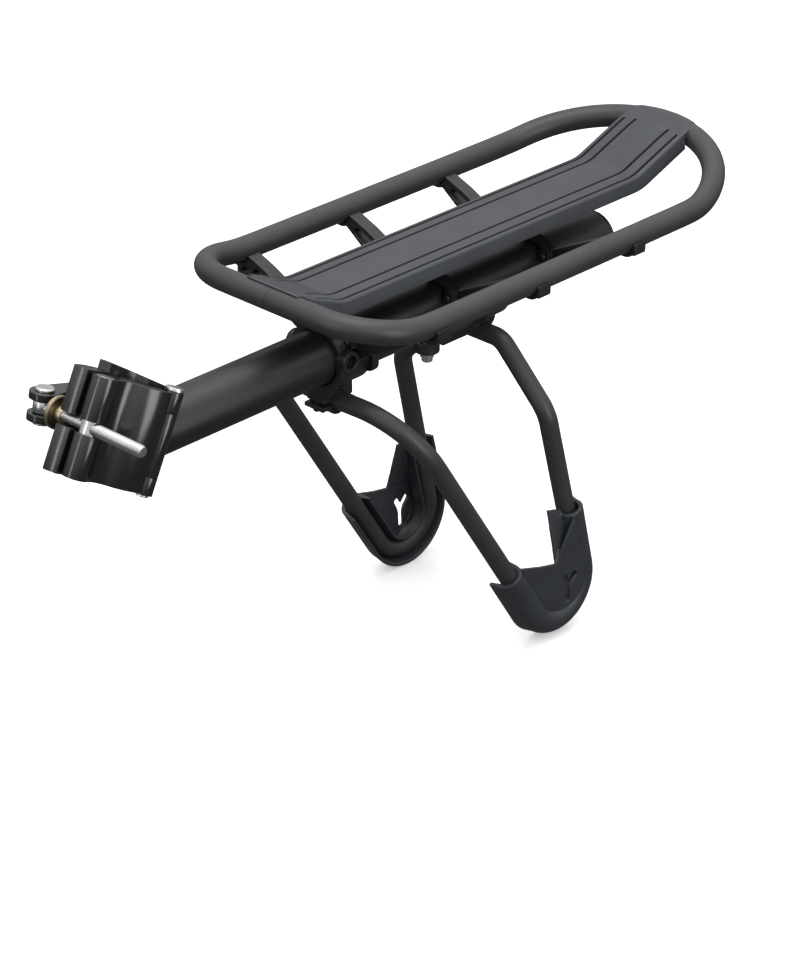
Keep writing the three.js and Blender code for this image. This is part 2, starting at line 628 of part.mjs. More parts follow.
add('foot_cover_right', footCover(), PLASTIC);
add('clamp_body', clampBody(), ANODISED, clamp);
add('clamp_jaw', clampJaw(), ANODISED, clamp);
add('hinge_pin', hingePin(), STEEL, clamp);
add('barrel_nut', barrelNut(), STEEL, clamp);
add('clamp_stud', clampStud(), STEEL, release);
add('bearing_cup', washer(5.4, -20.4, -15.7), BRONZE, release);
add('qr_washer', washer(10.8, -15.4, -12.4), BRONZE, release);
add('qr_lever', quickLever(), ANODISED, release);
add('lever_pin', leverPin(), STEEL, release);

export default rack;
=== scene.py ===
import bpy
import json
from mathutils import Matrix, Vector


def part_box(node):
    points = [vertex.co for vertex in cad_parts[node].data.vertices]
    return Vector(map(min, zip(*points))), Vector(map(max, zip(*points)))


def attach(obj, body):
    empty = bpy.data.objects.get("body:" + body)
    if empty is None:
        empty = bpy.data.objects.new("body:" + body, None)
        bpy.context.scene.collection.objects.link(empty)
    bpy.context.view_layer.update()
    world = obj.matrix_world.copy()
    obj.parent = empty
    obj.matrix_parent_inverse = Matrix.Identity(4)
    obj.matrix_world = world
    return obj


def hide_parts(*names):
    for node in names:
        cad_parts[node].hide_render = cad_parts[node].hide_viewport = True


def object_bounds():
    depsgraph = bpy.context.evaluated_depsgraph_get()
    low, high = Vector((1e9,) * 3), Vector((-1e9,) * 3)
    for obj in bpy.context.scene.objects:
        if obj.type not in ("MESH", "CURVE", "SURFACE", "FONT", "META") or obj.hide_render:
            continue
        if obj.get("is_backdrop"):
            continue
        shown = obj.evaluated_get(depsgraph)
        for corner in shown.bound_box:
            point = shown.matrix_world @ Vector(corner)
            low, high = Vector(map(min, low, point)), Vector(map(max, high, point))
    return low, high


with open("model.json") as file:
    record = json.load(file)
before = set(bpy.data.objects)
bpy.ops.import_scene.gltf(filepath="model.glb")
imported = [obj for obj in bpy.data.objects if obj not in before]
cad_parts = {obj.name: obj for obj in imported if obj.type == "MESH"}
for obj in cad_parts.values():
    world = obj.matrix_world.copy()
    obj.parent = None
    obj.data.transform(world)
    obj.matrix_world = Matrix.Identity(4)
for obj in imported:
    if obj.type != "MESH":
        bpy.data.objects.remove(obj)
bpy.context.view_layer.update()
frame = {"record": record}

import json
import math

import bmesh
import bpy
from mathutils import Matrix, Vector

# The looks of a seat-post rack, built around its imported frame. Shapes are drawn in millimetres.
MM = 0.001
GAP = 0.3
TAU = 2 * math.pi


def corners(node):
    low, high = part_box(node)
    return Vector(low) / MM, Vector(high) / MM


def joint(name):
    found = next(j for j in frame["record"]["behaviour"]["joints"] if j["name"] == name)
    return Vector(found["pos_m"]) / MM, Vector(found["axis"]).normalized()


# ---------------------------------------------------------------- driving places, read from the frame
beam_low, beam_high = corners("beam_tube")
cap_low, cap_high = corners("beam_end_cap")
loop_low, loop_high = corners("deck_loop")
hinge_at, post_axis = joint("jaw_hinge")
nut_at, _ = joint("nut_swing")
eye_at, lever_axis = joint("lever_hinge")

BEAM_RADIUS = (beam_high.y - beam_low.y) / 2
BEAM_Z = (beam_high.z + beam_low.z) / 2
BEAM_WALL = 2.5
BEAM_END = beam_high.x
BAND = BEAM_RADIUS + GAP

RAIL = 8.0
RAIL_Y = loop_high.y - RAIL
FRONT_X = loop_low.x + RAIL
REAR_X = loop_high.x - RAIL
DECK_Z = 36.9
FRONT_KINK = 171.9
REAR_KINK = 439.9
FRONT_PITCH = math.radians(10.8)
REAR_PITCH = math.radians(15.7)
FRONT_CORNER = 40.4
REAR_ARC = 79.9
FRONT_RUN = (FRONT_KINK - FRONT_X) / math.cos(FRONT_PITCH)
REAR_RUN = (REAR_X - REAR_KINK) / math.cos(REAR_PITCH)
LOOP_LENGTH = FRONT_RUN + REAR_KINK - FRONT_KINK + REAR_RUN

SIDES = (("left", -1), ("right", 1))
MEMBER_NAMES = ("front", "middle", "rear")
SCREW_TO_MEMBER = 3.6
MEMBER_X = [
    sum(corners(f"member_screw_{name}_left")[i].x for i in (0, 1)) / 2 + SCREW_TO_MEMBER
    for name in MEMBER_NAMES
]
ROD = 6.5
LATERAL = Vector((174, 0, -38.6))       # where the two rods meet under the collar
FOOT_CORNER = Vector((376.4, 74.4, -350.4))
FOOT_BEND = 26.2
KNEE = Vector((310, 67, -76))
SADDLE_SEAT = Vector((311, 0, -35.8))   # where they meet under the rear saddle

across_axis = Vector((0, 1, 0))
ahead_axis = across_axis.cross(post_axis).normalized()
CLAMP = Matrix((ahead_axis, across_axis, post_axis)).transposed().to_4x4()
lever_ahead = across_axis.cross(lever_axis).normalized()
LEVER_TURN = Matrix((lever_ahead, across_axis, lever_axis)).transposed().to_4x4()
RELEASE = Matrix.Translation(eye_at) @ LEVER_TURN
STUD_B = nut_at.dot(ahead_axis)
NUT_C = nut_at.y
HINGE_B = hinge_at.dot(ahead_axis)
HINGE_C = hinge_at.y


# ---------------------------------------------------------------- materials
def socket(shader, name, value):
    shader.inputs[name].default_value = value


def ramp_between(nodes, links, factor, dark, light):
    mix = nodes.new("ShaderNodeMix")
    mix.data_type = "RGBA"
    mix.inputs["A"].default_value = (*dark, 1)
    mix.inputs["B"].default_value = (*light, 1)
    links.new(factor, mix.inputs["Factor"])
    return mix.outputs["Result"]


def noise(nodes, links, coordinates, scale, detail, rough):
    node = nodes.new("ShaderNodeTexNoise")
    node.inputs["Scale"].default_value = scale
    node.inputs["Detail"].default_value = detail
    node.inputs["Roughness"].default_value = rough
    links.new(coordinates, node.inputs["Vector"])
    return node.outputs["Fac"]


def stretch(nodes, links, factor, low, high, new_low, new_high):
    node = nodes.new("ShaderNodeMapRange")
    node.inputs["From Min"].default_value = low
    node.inputs["From Max"].default_value = high
    node.inputs["To Min"].default_value = new_low
    node.inputs["To Max"].default_value = new_high
    links.new(factor, node.inputs["Value"])
    return node.outputs["Result"]


def material(name, dark, light, rough, grain, depth, metallic=0.0, specular=0.5):
    """A finish whose colour, roughness and surface all vary; grain is its number of grains per metre."""
    made = bpy.data.materials.new(name)
    made.use_nodes = True
    nodes, links = made.node_tree.nodes, made.node_tree.links
    shader = nodes["Principled BSDF"]
    socket(shader, "Metallic", metallic)
    socket(shader, "Specular IOR Level", specular)
    place = nodes.new("ShaderNodeTexCoord").outputs["Object"]
    fine = noise(nodes, links, place, grain, 2.0, 0.55)
    broad = noise(nodes, links, place, grain / 40, 3.0, 0.5)
    colour = ramp_between(nodes, links, stretch(nodes, links, broad, 0.3, 0.7, 0, 1), dark, light)
    links.new(colour, shader.inputs["Base Color"])
    roughness = stretch(nodes, links, fine, 0.3, 0.7, rough - 0.05, rough + 0.05)
    links.new(roughness, shader.inputs["Roughness"])
    bump = nodes.new("ShaderNodeBump")
    bump.inputs["Strength"].default_value = 1.0
    bump.inputs["Distance"].default_value = depth
    links.new(fine, bump.inputs["Height"])
    links.new(bump.outputs["Normal"], shader.inputs["Normal"])
    return made


POWDER = material("powder_coat", (0.026, 0.027, 0.029), (0.034, 0.035, 0.038), 0.44, 1500, 0.00004)
BEAM_BLACK = material("beam_black", (0.008, 0.008, 0.008), (0.012, 0.012, 0.012), 0.42, 1500, 0.00003)
PLATE = material("plate_plastic", (0.024, 0.027, 0.032), (0.031, 0.035, 0.041), 0.40, 1800, 0.00003)
PLASTIC = material("black_plastic", (0.010, 0.0105, 0.011), (0.015, 0.0155, 0.017), 0.38, 1600, 0.00003)
ANODISED = material("anodised", (0.006, 0.006, 0.007), (0.010, 0.010, 0.011), 0.20, 2500, 0.00001,
                    specular=0.8)
BLACK_STEEL = material("black_steel", (0.008, 0.008, 0.008), (0.014, 0.014, 0.014), 0.40, 2000, 0.00002)
STEEL = material("zinc_steel", (0.58, 0.59, 0.60), (0.72, 0.72, 0.71), 0.28, 1800, 0.00001, metallic=1.0)
BRONZE = material("bronze", (0.36, 0.29, 0.20), (0.48, 0.40, 0.29), 0.34, 1800, 0.00001, metallic=1.0)


# ---------------------------------------------------------------- shapes
def arc(u, v, radius, start, end, steps):
    turns = (math.radians(start + (end - start) * i / steps) for i in range(steps + 1))
    return [(u + radius * math.cos(a), v + radius * math.sin(a)) for a in turns]


def disc(radius, u=0.0, v=0.0, sides=64):
    return arc(u, v, radius, 0, 360 - 360 / sides, sides - 1)


def rectangle(u0, u1, v0, v1):
    return [(u0, v0), (u1, v0), (u1, v1), (u0, v1)]


def rounded(points, radius, steps=5):
    """The outline with each corner turned into an arc-like curve of about this radius."""
    count = len(points)
    result = []
    for i, (u, v) in enumerate(points):
        here = Vector((u, v))
        before = Vector(points[i - 1])
        after = Vector(points[(i + 1) % count])
        reach = min(radius, (before - here).length / 2.2, (after - here).length / 2.2)
        start = here + (before - here).normalized() * reach
        end = here + (after - here).normalized() * reach
        for k in range(steps + 1):
            t = k / steps
            point = start * (1 - t) ** 2 + here * 2 * t * (1 - t) + end * t ** 2
            result.append((point.x, point.y))
    return result


def mesh_object(name, mesh_builder):
    mesh = bpy.data.meshes.new(name)
    mesh_builder.normal_update()
    mesh_builder.to_mesh(mesh)
    mesh_builder.free()
    made = bpy.data.objects.new(name, mesh)
    bpy.context.scene.collection.objects.link(made)
    return made


def area_sign(section):
    pairs = zip(section, section[1:] + section[:1])
    return sum(p[0] * q[1] - q[0] * p[1] for p, q in pairs)


def skin(name, rings):
    """A capped solid through rings of points in millimetres, all with the same count."""
    builder = bmesh.new()
    rings = [[builder.verts.new(point * MM) for point in ring] for ring in rings]
    count = len(rings[0])
    for lower, upper in zip(rings, rings[1:]):
        for i in range(count):
            j = (i + 1) % count
            builder.faces.new((lower[i], lower[j], upper[j], upper[i]))
    builder.faces.new(rings[0][::-1])
    builder.faces.new(rings[-1])
    bmesh.ops.recalc_face_normals(builder, faces=builder.faces)
    return mesh_object(name, builder)


def sweep(name, section, frames):
    """A solid: the section, drawn in (u, v), carried through frames of (origin, across, up)."""
    section = section if area_sign(section) > 0 else section[::-1]
    rings = [[origin + across * u + up * v for u, v in section] for origin, across, up in frames]
    return skin(name, rings)


AXES = {
    "x": (Vector((1, 0, 0)), Vector((0, 1, 0)), Vector((0, 0, 1))),
    "y": (Vector((0, -1, 0)), Vector((1, 0, 0)), Vector((0, 0, 1))),
    "z": (Vector((0, 0, 1)), Vector((1, 0, 0)), Vector((0, 1, 0))),
}


def placed(piece, place):
    """The piece moved by a matrix that is written in millimetres."""
    piece.data.transform(Matrix.Scale(MM, 4) @ place @ Matrix.Scale(1 / MM, 4))
    return piece


def prism(axis, section, start, end, place=Matrix.Identity(4)):
    """A straight solid along x, y or z; its section is drawn in (y, z), (x, z) or (x, y)."""
    forward, across, up = AXES[axis]
    sign = -1 if axis == "y" else 1
    low, high = sorted((start * sign, end * sign))
    made = sweep("prism", section, [(forward * low, across, up), (forward * high, across, up)])
    return placed(made, place)


def frames_along(points, first_across):
    frames, across = [], first_across.copy()
    for i, origin in enumerate(points):
        forward = Vector((0, 0, 0))
        if i > 0:
            forward += (origin - points[i - 1]).normalized()
        if i < len(points) - 1:
            forward += (points[i + 1] - origin).normalized()
        forward.normalize()
        across = (across - forward * across.dot(forward)).normalized()
        frames.append((origin, across, forward.cross(across)))
    return frames


def route(stops, bend_steps=28):
    """Points along straight runs joined by round bends; each stop is (point, bend radius)."""
    points = [stops[0][0]]
    for (before, _), (at, bend), (after, _) in zip(stops, stops[1:], stops[2:]):
        arriving, leaving = (at - before).normalized(), (after - at).normalized()
        turn = arriving.angle(leaving)
        start = at - arriving * bend * math.tan(turn / 2)
        inward = (leaving - arriving * leaving.dot(arriving)).normalized()
        steps = max(6, round(bend_steps * turn / math.pi))
        for k in range(steps + 1):
            a = turn * k / steps
            points.append(start + arriving * bend * math.sin(a) + inward * bend * (1 - math.cos(a)))
    points.append(stops[-1][0])
    return points


def lathe(profile, axis, at, place=Matrix.Identity(4), sides=48):
    """A turned solid from (radius, height) points; the first and last lie on the axis."""
    forward, across, up = AXES[axis]
    builder = bmesh.new()
    rings = []
    for radius, height in profile:
        centre = at + forward * height
        if radius < 1e-6:
            rings.append([builder.verts.new(centre * MM)])
            continue
        ring = []
        for i in range(sides):
            a = TAU * i / sides
            point = centre + across * radius * math.cos(a) + up * radius * math.sin(a)
            ring.append(builder.verts.new(point * MM))
        rings.append(ring)
    for lower, upper in zip(rings, rings[1:]):
        for i in range(sides):
            j = (i + 1) % sides
            below, above = len(lower), len(upper)
            face = [lower[i % below], lower[j % below], upper[j % above], upper[i % above]]
            builder.faces.new(list(dict.fromkeys(face)))
    bmesh.ops.recalc_face_normals(builder, faces=builder.faces)
    return placed(mesh_object("turned", builder), place)


def apply_all(target):
    bpy.context.view_layer.objects.active = target
    for modifier in list(target.modifiers):
        with bpy.context.temp_override(object=target, active_object=target, selected_objects=[target]):
            bpy.ops.object.modifier_apply(modifier=modifier.name)


def combine(target, others, operation):
    for other in others:
        modifier = target.modifiers.new("cut", "BOOLEAN")
        modifier.operation = operation
        modifier.solver = "EXACT"
        modifier.object = other
        apply_all(target)
        bpy.data.objects.remove(other)
    return target


def cut(target, *others):
    return combine(target, others, "DIFFERENCE")


def join(target, *others):
    return combine(target, others, "UNION")


def melt(target, voxel, passes, share):
    """Turns hard edges into small moulded ones; share is the part of the faces that is kept."""
    remesh = target.modifiers.new("remesh", "REMESH")
    remesh.mode = "VOXEL"
    remesh.voxel_size = voxel * MM
    smooth = target.modifiers.new("smooth", "SMOOTH")
    smooth.factor = 0.5
    smooth.iterations = passes
    fewer = target.modifiers.new("fewer", "DECIMATE")
    fewer.ratio = share
    apply_all(target)
    return target


def edge(target, width, angle=30, segments=3):
    bevel = target.modifiers.new("bevel", "BEVEL")
    bevel.width = width * MM
    bevel.segments = segments
    bevel.limit_method = "ANGLE"
    bevel.angle_limit = math.radians(angle)
    bevel.use_clamp_overlap = True
    apply_all(target)
    return target


def mirror_copy(source, name):
    made = source.copy()
    made.data = source.data.copy()
    made.data.transform(Matrix.Scale(-1, 4, across_axis))
    made.data.flip_normals()
    made.name = name
    bpy.context.scene.collection.objects.link(made)
    return made


def show(piece, node, body, finish, smooth_angle=35):
    """Names the piece, gives it its finish and lets it stand for a CAD node."""
    piece.name = f"{node}.shell"
    piece.data.materials.clear()
    piece.data.materials.append(finish)
    for polygon in piece.data.polygons:
        polygon.use_smooth = True
    piece.data.set_sharp_from_angle(angle=math.radians(smooth_angle))
    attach(piece, body)
    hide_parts(node)
    return piece


# ---------------------------------------------------------------- beam
def post_cylinder(radius):
    return prism("z", disc(radius, sides=96), -80, 80, CLAMP)


def beam_space(radius, x0=-5, x1=460):
    return prism("x", disc(radius, 0, BEAM_Z, 96), x0, x1)


def build_beam():
    beam = prism("x", disc(BEAM_RADIUS, 0, BEAM_Z, 96), 0, BEAM_END)
    cut(beam, beam_space(BEAM_RADIUS - BEAM_WALL), post_cylinder(25 + GAP))
    edge(beam, 0.4, 40, 2)
    show(beam, "beam_tube", "frame", BEAM_BLACK)
    plug = BEAM_RADIUS - BEAM_WALL - GAP
    thickness = cap_high.x - BEAM_END
    rim = 1.6
    profile = [(0, 1), (plug - 3, 1), (plug - 2.2, thickness - 0.3), (plug - 1, thickness)]
    profile += [(BEAM_RADIUS - rim, thickness)]
    profile += [(BEAM_RADIUS - rim + dr, thickness - rim + dz) for dr, dz in arc(0, 0, rim, 80, 0, 6)]
    profile += [(BEAM_RADIUS, GAP), (plug, GAP), (plug, -11), (plug - 2, -11), (plug - 2, -1), (0, -1)]
    cap = lathe(profile, "x", Vector((BEAM_END, 0, BEAM_Z)), sides=96)
    show(cap, "beam_end_cap", "frame", PLASTIC)


# ---------------------------------------------------------------- deck
def eased(distance, width=9.0):
    """Grows like the distance beyond a kink, with the kink rounded over about this width."""
    return (distance + math.hypot(distance, width)) / 2


def deck_point(run, y):
    flat_end = FRONT_RUN + REAR_KINK - FRONT_KINK
    ahead, behind = max(0, FRONT_RUN - run), max(0, run - flat_end)
    x = FRONT_KINK + run - FRONT_RUN
    if ahead:
        x = FRONT_KINK - ahead * math.cos(FRONT_PITCH)
    if behind:
        x = REAR_KINK + behind * math.cos(REAR_PITCH)
    front_rise = eased(FRONT_RUN - run) * math.sin(FRONT_PITCH)
    rear_rise = eased(run - flat_end) * math.sin(REAR_PITCH)
    return Vector((x, y, DECK_Z + front_rise + rear_rise))


def loop_points():
    centre = LOOP_LENGTH - REAR_ARC
    corner = arc(FRONT_CORNER, RAIL_Y - FRONT_CORNER, FRONT_CORNER, 180, 90, 18)
    half = [deck_point(0, 0)]
    half += [deck_point(run, y) for run, y in corner]
    half += [deck_point(FRONT_CORNER + step, RAIL_Y) for step in (4, 8, 12, 16, 22, 30)]
    half += [deck_point(run, RAIL_Y) for run in (150, 250, centre - 10)]
    turns = [math.radians(a) for a in range(0, 91, 3)]
    half += [deck_point(centre + REAR_ARC * math.sin(a), RAIL_Y * math.cos(a)) for a in turns]
    left = [Vector((p.x, -p.y, p.z)) for p in half[1:-1]][::-1]
    return half + left


def closed_frames(points):
    frames = []
    for i, origin in enumerate(points):
        following = points[(i + 1) % len(points)]
        forward = (following - origin).normalized() + (origin - points[i - 1]).normalized()
        forward.normalize()
        across = Vector((0, 0, 1)).cross(forward).normalized()
        frames.append((origin, across, forward.cross(across)))
    return frames


def build_loop():
    """One bent tube; its ends meet at the middle of the front bar."""
    frames = closed_frames(loop_points())
    start, across, up = frames[0]
    half_gap = across_axis * GAP / 2
    frames = [(start + half_gap, across, up), *frames[1:], (start - half_gap, across, up)]
    loop = sweep("loop", disc(RAIL, sides=40), frames)
    show(loop, "deck_loop", "frame", POWDER)


PLATE_Z = 41.0
PLATE_FRONT_KINK = Vector((161.0, PLATE_Z))
PLATE_REAR_KINK = Vector((441.6, PLATE_Z))
PLATE_HALF = 28.0
GROOVE_DEPTH = 1.9
HOLLOW = RAIL + GAP                     # the seat of a bar in the plate or in a member
WRAP = HOLLOW + 0.6
FRONT_SLOPE = Vector((math.cos(math.radians(21.8)), -math.sin(math.radians(21.8))))
REAR_SLOPE = Vector((math.cos(math.radians(20.5)), math.sin(math.radians(20.5))))


def kink(at, arriving, leaving, reach=6, steps=6):
    """A small bend in the plate's side line."""
    start, end = at - arriving * reach, at + leaving * reach
    shares = [k / steps for k in range(steps + 1)]
    return [start * (1 - t) ** 2 + at * 2 * t * (1 - t) + end * t * t for t in shares]


def plate_stations():
    """The plate's top line as (point in x and z, distance from the bar that it ends on, which end)."""
    front, rear = deck_point(0, 0), deck_point(LOOP_LENGTH, 0)
    level = Vector((1, 0))
    steps = [0.5 * k for k in range(1, 18)] + [10, 12, 12.6, 16, 20, 25]
    front_touch = Vector((front.x - FRONT_SLOPE.y * WRAP, front.z + FRONT_SLOPE.x * WRAP))
    rear_touch = Vector((rear.x - REAR_SLOPE.y * WRAP, rear.z + REAR_SLOPE.x * WRAP))
    stations = [(Vector(p), 0, -1) for p in arc(front.x, front.z, WRAP, 92, 68.2, 6)]
    stations += [(front_touch + FRONT_SLOPE * s, s, -1) for s in steps]
    stations += [(p, 100, 0) for p in kink(PLATE_FRONT_KINK, FRONT_SLOPE, level)]
    stations += [(Vector((x, PLATE_Z)), 100, 0) for x in (230, 300, 370)]
    stations += [(p, 100, 0) for p in kink(PLATE_REAR_KINK, level, REAR_SLOPE)]
    stations += [(rear_touch - REAR_SLOPE * s, s, 1) for s in [50, 40, 32, *steps[::-1]]]
    stations += [(Vector(p), 0, 1) for p in arc(rear.x, rear.z, WRAP, 110.5, 60, 10)]
    return stations


def plate_section(groove_depth, crown):
    """The plate's section: four grooves on a slightly crowned top, and a skirt down each side."""
    def groove(y, z):
        floor = z - groove_depth
        edges = [(1.15, z), (0.95, z - 0.15 * groove_depth), (0.8, floor)]
        return [(y + u, v) for u, v in edges] + [(y - u, v) for u, v in edges[::-1]]
    top = [(27.9, -0.7), (27.4, -0.25), (26.6, 0), *groove(23.6, 0.2 * crown), (19, 0.55 * crown)]
    top += [*groove(14.6, 0.8 * crown), (6, 0.8 * crown)]
    side = [(31.4, -8), (31.2, -7.4), (29.6, -4.4), (28.3, -1.5)]
    under = [(10, -2.6), (25.6, -2.6), (26.6, -3.2), (29.2, -8)]
    right = under + side + top
    return right + [(-y, z) for y, z in right][::-1]


def smooth_step(value, start, end):
    t = min(1, max(0, (value - start) / (end - start)))
    return t * t * (3 - 2 * t)


def plate_ring(station, forward):
    """One section of the plate; near the bars its depth is cut back to the tube's outline."""
    point, s, which = station
    normal = Vector((-forward.y, forward.x))
    depth = WRAP - math.sqrt(HOLLOW ** 2 - s ** 2) if s < HOLLOW else math.inf
    if which > 0 and s < 10.5:
        depth = min(depth, 3.2)
    depth = max(depth, WRAP - HOLLOW)
    narrow = (0.80 if which < 0 else 0.89) if s < 2 else 1
    bow = 1 - smooth_step(s, 20, 50) if which > 0 else 0
    ring = []
    for y, z in plate_section(GROOVE_DEPTH * smooth_step(s, 12, 12.6), smooth_step(s, 3, 25)):
        if abs(y) > PLATE_HALF:
            y = math.copysign(PLATE_HALF + (abs(y) - PLATE_HALF) * min(1, depth / 8), y)
        y *= narrow
        z = max(z, -depth)
        back = REAR_ARC * (1 - math.sqrt(1 - (y / RAIL_Y) ** 2)) * bow
        along = point + normal * z - REAR_SLOPE * back
        ring.append(Vector((along.x, y, along.y)))
    return ring


def build_plate():
    stations = plate_stations()
    rings = []
    for i, station in enumerate(stations):
        before = stations[max(i - 1, 0)][0]
        after = stations[min(i + 1, len(stations) - 1)][0]
        rings.append(plate_ring(station, (after - before).normalized()))
    plate = skin("plate", rings)
    show(plate, "deck_plate", "frame", PLATE, 40)


# ---------------------------------------------------------------- cross members
RAIL_BOLT_Y = 80.0


def member_half():
    """Half of a member's front outline in (y, z), from its middle out to the rail and back."""
    seat = arc(RAIL_Y, DECK_Z, HOLLOW, 186, 360, 24)
    under = arc(RAIL_Y, DECK_Z, 11.2, 308, 240, 12)
    upper = [(0, 16), (9, 14), (18, 9.4), (60, 30), (74, 35.4), *seat, (95.4, 37.4), (95.6, 31)]
    return [*upper, *under, (66, 17.5), (22, -6.2), (0, -6.2)]


def member_master(with_boss):
    half = member_half()
    section = half + [(-y, z) for y, z in half[1:-1]][::-1]
    member = prism("x", section[::-1], -5, 5)
    for side in (-1, 1):
        slot = arc(46 * side, 15.2, 3.2, 0, 345, 23) + arc(68 * side, 25.6, 3.2, 0, 345, 23)
        screw_y, hook_y = side * 18.5, side * 91.5
        cut(member, prism("x", hull(slot), -10, 10))
        join(member, prism("x", rectangle(screw_y - 4, screw_y + 4, 2, 10.4), -8.7, -4))
        join(member, prism("x", rectangle(hook_y - 3.4, hook_y + 3.4, 29, 36.8), -5.7, 5.7))
        if with_boss:
            join(member, prism("z", disc(8, 0, side * RAIL_BOLT_Y, 48), 18, 25.5))
    cut(member, beam_space(BAND, -30, 30))
    rails = [prism("x", disc(HOLLOW, side * RAIL_Y, DECK_Z, 64), -20, 20) for side in (-1, 1)]
    cut(member, *rails)
    return melt(member, 0.42, 2, 0.3)


def turn(p, q, r):
    return (q[0] - p[0]) * (r[1] - p[1]) - (q[1] - p[1]) * (r[0] - p[0])


def hull(points):
    """Convex outline around the points."""
    def chain(ordered):
        kept = []
        for point in ordered:
            while len(kept) > 1 and turn(kept[-2], kept[-1], point) <= 0:
                kept.pop()
            kept.append(point)
        return kept[:-1]
    ordered = sorted(set(points))
    return chain(ordered) + chain(ordered[::-1])


def screw(axis, at, direction, head_radius, head_height, shank, length, key, place=Matrix.Identity(4)):
    """A domed head with a socket on a plain shank; direction is where the head points."""
    turns = [math.radians(a) for a in range(0, 61, 10)]
    dome = [(head_radius * math.cos(a), head_height * (0.35 + 0.65 * math.sin(a))) for a in turns]
    dome = [point for point in dome if point[0] > key + 0.2]
    rim = [(key + 0.15, head_height * 0.96), (key, head_height * 0.88)]
    floor = head_height * 0.3
    profile = [(0, -length), (shank, -length), (shank, 0), (head_radius, 0), *dome, *rim]
    profile += [(key, floor), (0, floor)]
    sign = direction * (-1 if axis == "y" else 1)
    return lathe([(radius, height * sign) for radius, height in profile], axis, at, place, 40)


def build_members():
    for name, x in zip(MEMBER_NAMES, MEMBER_X):
        member = member_master(name == "front")
        member.data.transform(Matrix.Translation(Vector((x, 0, 0)) * MM))
        show(member, f"cross_member_{name}", "frame", PLASTIC, 60)
        for side_name, side in SIDES:
            made = screw("x", Vector((x - 9, side * 18, 6.5)), -1, 2.6, 2.2, 1.5, 12, 1.3)
            show(made, f"member_screw_{name}_{side_name}", "frame", BLACK_STEEL)
    shank, head = [(0, 8), (2.5, 8), (2.5, 0)], [(4.4, 0), (4.4, -3.4), (4.0, -3.9)]
    end = [(3.6, -3.9), (3.6, -6.2), (3.0, -6.8), (0, -6.8)]
    for side_name, side in SIDES:
        bolt = lathe(shank + head + end, "z", Vector((MEMBER_X[0], side * RAIL_BOLT_Y, 17.7)))
        show(bolt, f"rail_bolt_{side_name}", "frame", STEEL)


# ---------------------------------------------------------------- bands on the beam
COLLAR_BOLT = Vector((168, 0, -4))


def half_band(wall, x0, x1, upper):
    start, end = (0, 180) if upper else (180, 360)
    ring = arc(0, BEAM_Z, BAND + wall, start, end, 40) + arc(0, BEAM_Z, BAND, end, start, 40)
    shift = GAP if upper else -GAP
    return prism("x", [(y, z + shift) for y, z in ring], x0, x1)


def leg_stops():
    """The corners of the right rod, from under the collar to the foot and back up, with bend radii."""
    half_gap = Vector((0, GAP, 0))
    return [
        (LATERAL + half_gap, 0),
        (Vector((176.9, 69.8, LATERAL.z)), 45),
        (FOOT_CORNER, FOOT_BEND),
        (KNEE, 20),
        (SADDLE_SEAT + Vector((0, 24.5, 0)), 16),
        (SADDLE_SEAT + half_gap, 0),
    ]


def leg_tube(radius, side=1):
    frames = frames_along(route(leg_stops()), Vector((1, 0, 0)))
    made = sweep("leg", disc(radius, sides=40), frames)
    if side < 0:
        made.data.transform(Matrix.Scale(-1, 4, across_axis))
        made.data.flip_normals()
    return made


def lateral_space():
    """Room for both rods and for the place where they meet."""
    radius = ROD + GAP
    meeting = prism("y", disc(radius, LATERAL.x, LATERAL.z, 40), -4, 4)
    return [leg_tube(radius), leg_tube(radius, -1), meeting]


def bolt_disc(radius, sides):
    return disc(radius, COLLAR_BOLT.x, COLLAR_BOLT.z, sides)


def build_collar():
    band = half_band(4, 162, 190, False)
    strap = edge(half_band(6.3, 161, 171, False), 1.6, 40, 4)
    join(band, strap, prism("y", bolt_disc(7.4, 64), -26.5, 26.5))
    block = rounded(rectangle(160.5, 188, -8.5, 8.5), 3)
    join(band, prism("z", block, LATERAL.z + 1, BEAM_Z - BAND))
    for side in (-1, 1):
        y, top = side * 21.5, -4
        lobe = [*arc(y, -12, 6, 180, 360, 24), (y + 6, top), (y - 6, top)]
        join(band, edge(prism("x", lobe, 186.4, 192.4), 1.2, 40, 4))
        join(band, edge(prism("x", disc(5.2, side * 8, -28.6), 161, 171), 1.5, 40, 4))
        cut(band, prism("y", bolt_disc(4.6, 48), side * 21.7, side * 30))
    cut(band, beam_space(BAND), *lateral_space())
    show(melt(band, 0.4, 3, 0.35), "collar_lower_band", "frame", PLASTIC, 60)
    saddle = half_band(4, 162, 169.5, True)
    cut(saddle, prism("y", bolt_disc(7.7, 64), -30, 30))
    show(edge(saddle, 0.5, 40), "collar_upper_saddle", "frame", PLASTIC)
    for side_name, side in SIDES:
        at = COLLAR_BOLT + Vector((0, side * 22, 0))
        bolt = screw("y", at, side, 4.0, 2.3, 2.0, 7, 2.3)
        show(bolt, f"collar_bolt_{side_name}", "frame", BLACK_STEEL)


def build_front_bracket():
    cradle = arc(LATERAL.x, LATERAL.z, 9.6, 207, 333, 24)
    outline = [(159.5, -39.9), (159.5, -43), *cradle, (188.5, -43), (188.5, -39.9)]
    bracket = prism("y", outline, -8.5, 8.5)
    cut(bracket, *lateral_space())
    show(melt(bracket, 0.4, 2, 0.5), "front_leg_bracket", "frame", PLASTIC, 60)
    for name, x in (("front", 162.6), ("rear", 185.4)):
        made = screw("z", Vector((x, 0, -43.3)), -1, 2.5, 2, 1.5, 11, 1.3)
        show(made, f"bracket_screw_{name}", "frame", BLACK_STEEL)


